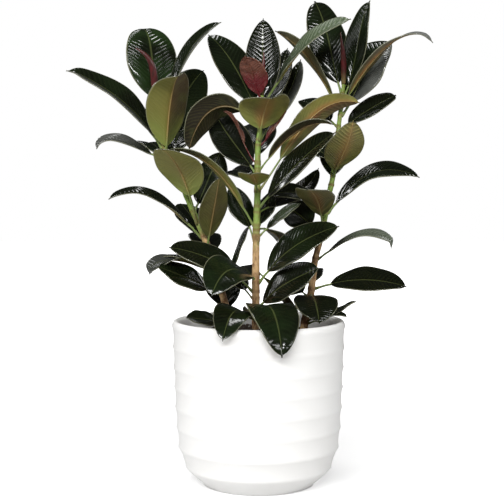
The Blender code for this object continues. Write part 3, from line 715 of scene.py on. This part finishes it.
def makeBark():
    finish = Finish("stem bark")
    place = finish.place()
    height = finish.axis(place, 2)
    streaks = finish.noise(finish.scaled(place, (1.0, 1.0, 0.30)), 420.0, 4.0, 0.6)
    blotches = finish.noise(finish.scaled(place, (1.0, 1.0, 0.55)), 170.0, 4.0, 0.65)
    patches = finish.noise(place, 55.0, 3.0)
    scar = finish.attribute("scar")
    low, high = stemLook["turnsGreen"]
    green = (height + (patches - 0.5) * 0.10 + (blotches - 0.5) * 0.08).step(low, high)
    shade = (streaks - 0.5) * 0.6 + blotches.step(0.35, 0.65) + (1 - height.step(0.24, 0.34)) * 0.25
    tanBark = (shade * 0.8).step(0.0, 1.0).blend(stemLook["tan"], stemLook["brown"])
    young = (blotches.step(0.48, 0.70) * 0.8).blend(stemLook["green"], stemLook["olive"])
    base = green.blend(tanBark, young)
    base = (scar * 0.75).blend(base, stemLook["brown"])
    lenticels = 1 - finish.cells(finish.scaled(place, (1.0, 1.0, 0.5)), 330.0).step(0.10, 0.30)
    base = (lenticels * (1 - green) * 0.4).blend(base, stemLook["lenticel"])
    return finish.set(base=base, rough=0.58 - green * 0.18 + streaks * 0.1,
                      normal=finish.bump(streaks * 0.7 + blotches + lenticels * 0.3 - scar * 0.8, 0.0011, 0.8))


barkFinish = makeBark()
for stemName, stem in stems.items():
    points = [Vector(p) for p in stem["route"]]
    length = sum((b - a).length for a, b in zip(points, points[1:]))
    steps = round(length / stemLook["ringStep"])
    nodeHeights = [row[1] for row in leafRows.values() if row[0] == stemName]
    centres = [routePoint(points, i / steps) for i in range(steps + 1)]
    frames, marks = [], []
    for i, centre in enumerate(centres):
        direction = (centres[min(i + 1, steps)] - centres[max(i - 1, 0)]).normalized()
        side = direction.cross(Vector((0, 1, 0))).normalized()
        back = direction.cross(side)
        mark = max(math.exp(-((centre.z - h) / stemLook["nodeLength"]) ** 2) for h in nodeHeights)
        radius = stem["thick"] + (stem["thin"] - stem["thick"]) * i / steps
        radius += stemLook["nodeSwell"] * mark - 0.0002
        frames.append(ringFrame(centre, side, back, radius, radius))
        marks.append(mark)
    bm = bmesh.new()
    scarLayer = bm.verts.layers.float.new("scar")
    for ring, mark in zip(sweepTube(bm, frames, stemLook["sides"]), marks):
        for vert in ring:
            vert[scarLayer] = mark
    for vert in bm.verts:
        outward = vert.normal
        vert.co += outward * (stemLook["knobbly"] * noise.noise(vert.co * 140.0))
    addPiece("stem_" + stemName + "_bark", bm, [barkFinish], ["stem_" + stemName])
print("stems made")


# The red sheaths of the next leaves, on the growing tips

sheathLook = {
    "swell": [0.75, 0.95, 1.0, 0.9, 0.7, 0.42, 0.10],
    "rings": 56, "sides": 18,
    "crimson": (0.095, 0.012, 0.013),
    "wine": (0.022, 0.007, 0.005),
    # a pale pink, partly the sheath's own and partly a painted highlight
    "pinkAndHighlight": (0.42, 0.17, 0.12),
    # A sheath: where its tip is, where it heads just below the tip, its radius and how strongly its pink seam shows,
    # partly its own pale pink and partly a painted highlight.
    "each": {
        "left": ((-0.190, 0.002, 0.676), (0.028, 0.000, -0.012), 0.0056, 0.35),
        "middle": ((0.008, -0.018, 0.668), (0.000, 0.000, -0.025), 0.0042, 0.5),
        "right": ((0.126, 0.004, 0.700), (0.004, 0.000, -0.030), 0.0044, 0.9),
    },
}


def makeSheathFinish():
    finish = Finish("red sheath")
    place = finish.place()
    streaks = finish.noise(finish.scaled(place, (1.0, 1.0, 0.08)), 500.0, 3.0)
    t, pinkAndHighlight = finish.attribute("lengthwise"), finish.attribute("pinkAndHighlight")
    base = (streaks.step(0.35, 0.65) * 0.8).blend(sheathLook["crimson"], sheathLook["wine"])
    base = ((1 - t.step(0.0, 0.22)) * 0.6).blend(base, (0.20, 0.17, 0.05))
    # The seam and some streaks turn pink: partly the sheath's own pale pink and partly a painted highlight.
    base = (finish.attribute("seam") * pinkAndHighlight + streaks.step(0.6, 0.8) * pinkAndHighlight * 0.5).blend(
        base, sheathLook["pinkAndHighlight"])
    return finish.set(base=base, rough=0.30 + streaks * 0.12, normal=finish.bump(streaks, 0.0004, 0.5))


sheathFinish = makeSheathFinish()
for stemName, (tip, below, thick, pinkAndHighlight) in sheathLook["each"].items():
    route = [Vector(p) for p in stems[stemName]["route"][-2:]]
    start = route[1] + (route[1] - route[0]).normalized() * 0.0006
    end = Vector(tip)
    rise = Vector((0, 0, (end - start).length * 0.5))
    rings = sheathLook["rings"]
    centres = geometry.interpolate_bezier(start, start + rise, end + Vector(below), end, rings + 1)
    bm = bmesh.new()
    lengthLayer = bm.verts.layers.float.new("lengthwise")
    seamLayer = bm.verts.layers.float.new("seam")
    frames = []
    for i, centre in enumerate(centres):
        direction = (centres[min(i + 1, rings)] - centres[max(i - 1, 0)]).normalized()
        side = direction.cross(Vector((0, 1, 0))).normalized()
        at = i / rings * (len(sheathLook["swell"]) - 1)
        k = min(int(at), len(sheathLook["swell"]) - 2)
        swell, after = sheathLook["swell"][k:k + 2]
        radius = thick * (swell + (after - swell) * (at - k))
        frames.append(ringFrame(centre, side, direction.cross(side), radius, radius * 0.86))
    for i, ring in enumerate(sweepTube(bm, frames, sheathLook["sides"])):
        for vert in ring:
            vert[lengthLayer] = i / rings
            local = frames[i].inverted() @ vert.co
            angle = math.atan2(local.y, local.x) - 1.9 * i / rings
            groove = math.exp(-((math.degrees(math.acos(math.cos(angle + 1.2)))) / 14) ** 2)
            vert[seamLayer] = groove
            vert.co = frames[i] @ (local * (1 - 0.16 * groove + 0.03 * math.cos(3 * angle)))
    piece = addPiece("sheath_" + stemName + "_fine", bm, [sheathFinish], ["sheath_" + stemName])
    layer = piece.data.attributes.new("pinkAndHighlight", "FLOAT", "POINT")
    layer.data.foreach_set("value", [pinkAndHighlight] * len(piece.data.vertices))
print("sheaths made")


# The pot: a turned wall with soft ridges, and a rounded lip

potLook = {
    "sides": 160,
    "height": 0.256,
    "footRadius": 0.088, "footEdge": 0.003,
    "firstCrest": 0.0275, "crestPitch": 0.0313,
    "crestRadii": [0.1144, 0.1255, 0.1286, 0.1306, 0.1319, 0.1332, 0.1342, 0.1350],
    "bandDip": 0.0019,
    "bandSteps": 10,
    "wall": 0.0115, "floor": 0.016,
    "glaze": (0.89, 0.885, 0.87),
    "thinGlaze": (0.83, 0.82, 0.80),
}


def turned(profile, sides):
    bm = bmesh.new()
    points = [bm.verts.new((radius, 0.0, height)) for radius, height in profile]
    edges = [bm.edges.new(pair) for pair in zip(points, points[1:])]
    bmesh.ops.spin(bm, geom=points + edges, cent=(0, 0, 0), axis=(0, 0, 1),
                   angle=2 * math.pi, steps=sides, use_merge=True)
    bmesh.ops.remove_doubles(bm, verts=bm.verts, dist=1e-6)
    bmesh.ops.recalc_face_normals(bm, faces=bm.faces)
    return bm


def potProfile():
    crests = [(radius, potLook["firstCrest"] + potLook["crestPitch"] * i)
              for i, radius in enumerate(potLook["crestRadii"])]
    points = [(0.0, 0.0), (potLook["footRadius"] - potLook["footEdge"], 0.0),
              (potLook["footRadius"] - 0.0008, 0.0008), (potLook["footRadius"], potLook["footEdge"])]
    low = points[-1]
    for n, (radius, height) in enumerate(crests):
        steps = potLook["bandSteps"]
        dip = potLook["bandDip"] if n else -0.0012
        for i in range(1, steps + 1):
            u = i / steps
            points.append((low[0] + (radius - low[0]) * u - dip * math.sin(math.pi * u) ** 0.6,
                           low[1] + (height - low[1]) * u))
        low = (radius, height)
    radius, height = crests[-1]
    middle, rise = radius - potLook["wall"] / 2, potLook["height"] - height
    points += [(middle + potLook["wall"] / 2 * math.cos(math.pi * i / 12), height + rise * math.sin(math.pi * i / 12))
               for i in range(1, 12)]
    points += [(radius - potLook["wall"], height) for radius, height in reversed(crests)]
    return points + [(potLook["footRadius"] - potLook["wall"] / 2, potLook["floor"]), (0.0, potLook["floor"])]


def makeGlaze():
    finish = Finish("white satin glaze")
    place = finish.place()
    drift = finish.noise(place, 9.0, 3.0)
    grain = finish.noise(place, 240.0, 3.0)
    pits = 1 - finish.cells(place, 160.0).step(0.02, 0.10)
    base = (drift.step(0.3, 0.8) * 0.5).blend(potLook["glaze"], potLook["thinGlaze"])
    return finish.set(base=base, rough=0.36 + drift * 0.12,
                      normal=finish.bump(drift * 3.0 + grain * 0.10 - pits * 0.06, 0.0006, 0.35))


bm = turned(potProfile(), potLook["sides"])
addPiece("pot_glazed", bm, [makeGlaze()], ["pot"])
print("pot made")


# The soil: a lumpy mound, with loose crumbs and pale grains on it

soilLook = {
    "edge": 0.228, "mound": 0.014, "lump": 0.003,
    "rings": 34, "sides": 120,
    "crumbs": 1500, "crumbSize": (0.0010, 0.0034), "batch": 50,
    "grains": 110, "grainSize": (0.0012, 0.0026),
    "dark": (0.020, 0.013, 0.009),
    "light": (0.070, 0.046, 0.030),
    "grain": (0.62, 0.60, 0.55),
}


def soilHeight(x, y, reach):
    out = min(1.0, math.hypot(x, y) / reach)
    place = Vector((x, y, 0.0))
    rough = soilLook["lump"] * (noise.noise(place * 60.0) + 0.5 * noise.noise(place * 150.0))
    return soilLook["edge"] + soilLook["mound"] * (1 - out ** 2) + rough * (1 - out ** 6)


def makeSoil(name, first, second, rough):
    finish = Finish(name)
    place = finish.place()
    grit = finish.noise(place, 380.0, 5.0, 0.7)
    lumps = finish.noise(place, 90.0, 3.0)
    base = (grit * 0.7 + lumps * 0.5 - 0.1).blend(first, second)
    return finish.set(base=base, rough=rough, normal=finish.bump(grit + lumps, 0.0014, 0.9))


potInside = potLook["crestRadii"][-1] - potLook["wall"]
reach = potInside - 0.0008
profile = [(0.0, 0.020), (0.080, 0.020), (0.1025, 0.030), (reach - 0.004, 0.120), (reach, soilLook["edge"] - 0.002)]
profile += [(reach * (1 - i / soilLook["rings"]), soilLook["edge"]) for i in range(soilLook["rings"] + 1)]
bm = turned(profile, soilLook["sides"])
for vert in bm.verts:
    if vert.co.z > soilLook["edge"] - 0.001:
        vert.co.z = soilHeight(vert.co.x, vert.co.y, reach)
addPiece("soil_bed", bm, [makeSoil("potting soil", soilLook["dark"], soilLook["light"], 0.95)], ["soil"])


# One lump, on the soil at a random spot.
def addLump(bm, chance, sizes, squash):
    turn, out = chance.uniform(0, 2 * math.pi), (reach - 0.004) * math.sqrt(chance.random())
    x, y = out * math.cos(turn), out * math.sin(turn)
    size = chance.uniform(*sizes) * (0.6 + 0.4 * chance.random())
    lump = bmesh.ops.create_icosphere(bm, subdivisions=1, radius=size)["verts"]
    for vert in lump:
        vert.co *= 1 + 0.30 * noise.noise(vert.co * 700.0 + Vector((x, y, 0)) * 900.0)
    spin = Matrix.Rotation(chance.uniform(0, 6.3), 3, (chance.random(), chance.random(), 1))
    flat = Matrix.Diagonal((1, chance.uniform(0.6, 1), squash, 1))
    bmesh.ops.transform(bm, matrix=spin.to_4x4() @ flat, verts=lump)
    bmesh.ops.translate(bm, vec=(x, y, soilHeight(x, y, reach) + size * 0.25), verts=lump)


# Many small lumps of one kind, half sunk into the soil, as one piece. They are made a few at a
# time, because an operator slows down as its bmesh grows.
def scatter(name, count, sizes, finish, seed, squash):
    chance = random.Random(seed)
    whole = bmesh.new()
    batch = bpy.data.meshes.new(name + " batch")
    for first in range(0, count, soilLook["batch"]):
        bm = bmesh.new()
        for _ in range(min(soilLook["batch"], count - first)):
            addLump(bm, chance, sizes, squash)
        bm.to_mesh(batch)
        bm.free()
        whole.from_mesh(batch)
    bpy.data.meshes.remove(batch)
    addPiece(name, whole, [finish])


scatter("soil_crumbs", soilLook["crumbs"], soilLook["crumbSize"],
        makeSoil("soil crumbs", soilLook["dark"], soilLook["light"], 0.95), 11, 0.75)
scatter("soil_grains", soilLook["grains"], soilLook["grainSize"],
        makeSoil("pale grains", soilLook["grain"], (0.40, 0.37, 0.32), 0.9), 12, 0.9)
print("soil made")


# The stage: a pale floor, soft boxes round a white studio, and the photograph's view

stageLook = {
    "floor": (0.80, 0.80, 0.80),
    "floorSize": 4.0, "floorFront": -0.8,
    "floorGlow": (0.40, 1.6, 0.32, 1.2),    # its own light near the pot and far off, and from where to where
    "studio": (0.04, 0.04, 0.04),       # what lights the plant from all round
    "backdrop": (1.0, 1.0, 1.0),        # what the camera sees behind it
    "aim": (0.0, 0.0, 0.42),
    # A soft box: where it hangs, its width and height, and its power.
    "boxes": {
        "key": ((-0.35, -2.20, 1.80), 2.2, 0.22, 72),
        "left": ((-1.85, -0.95, 1.35), 1.6, 0.22, 16),
        "right": ((1.75, -1.15, 1.25), 1.6, 0.22, 14),
        "top": ((-0.45, 0.25, 2.30), 0.8, 0.3, 12),
        "backLeft": ((-1.20, 1.45, 1.30), 1.0, 0.2, 5),
        "backRight": ((1.25, 1.35, 1.20), 1.0, 0.2, 5),
    },
    "lens": 85.0, "cameraAt": (0.0, -1.845, 0.4741), "cameraTurn": (86.513, 0.0, 0.317),
}

bm = bmesh.new()
bmesh.ops.create_grid(bm, x_segments=1, y_segments=1, size=stageLook["floorSize"])
bmesh.ops.translate(bm, vec=(0, stageLook["floorSize"] + stageLook["floorFront"], 0), verts=bm.verts)
mesh = bpy.data.meshes.new("floor")
bm.to_mesh(mesh)
bm.free()
floor = bpy.data.objects.new("floor", mesh)
scene.collection.objects.link(floor)
finish = Finish("floor")
near, far, start, end = stageLook["floorGlow"]
across, depth = finish.axis(finish.place(), 0), finish.axis(finish.place(), 1)
glow = ((across * across + depth * depth) ** 0.5).step(start, end) * (far - near) + near
glow = glow * finish.node("ShaderNodeLightPath")
finish.set(base=stageLook["floor"], rough=0.9, specular=0.0, glow=glow, glowStrength=1.0)
mesh.materials.append(finish.material)

world = bpy.data.worlds.new("studio")
scene.world = world
world.use_nodes = True
tree = world.node_tree
toCamera = nodeOf(tree, "ShaderNodeLightPath")
sky = toCamera.blend(stageLook["studio"], stageLook["backdrop"])
tree.links.new(sky.socket, tree.nodes["Background"].inputs["Color"])

for name, (place, width, height, power) in stageLook["boxes"].items():
    light = bpy.data.lights.new(name, "AREA")
    light.shape = "RECTANGLE"
    light.size, light.size_y = width, height
    light.energy = power
    holder = bpy.data.objects.new(name, light)
    holder.location = place
    holder.rotation_euler = (Vector(stageLook["aim"]) - Vector(place)).to_track_quat("-Z", "Y").to_euler()
    holder.visible_camera = False
    scene.collection.objects.link(holder)

cameraData = bpy.data.cameras.new("photograph")
cameraData.lens = stageLook["lens"]
cameraData.sensor_width = 36.0
camera = bpy.data.objects.new("photograph", cameraData)
camera.location = stageLook["cameraAt"]
camera.rotation_euler = [math.radians(angle) for angle in stageLook["cameraTurn"]]
scene.collection.objects.link(camera)
scene.camera = camera
scene.view_settings.view_transform = "Standard"

print("scene ready")
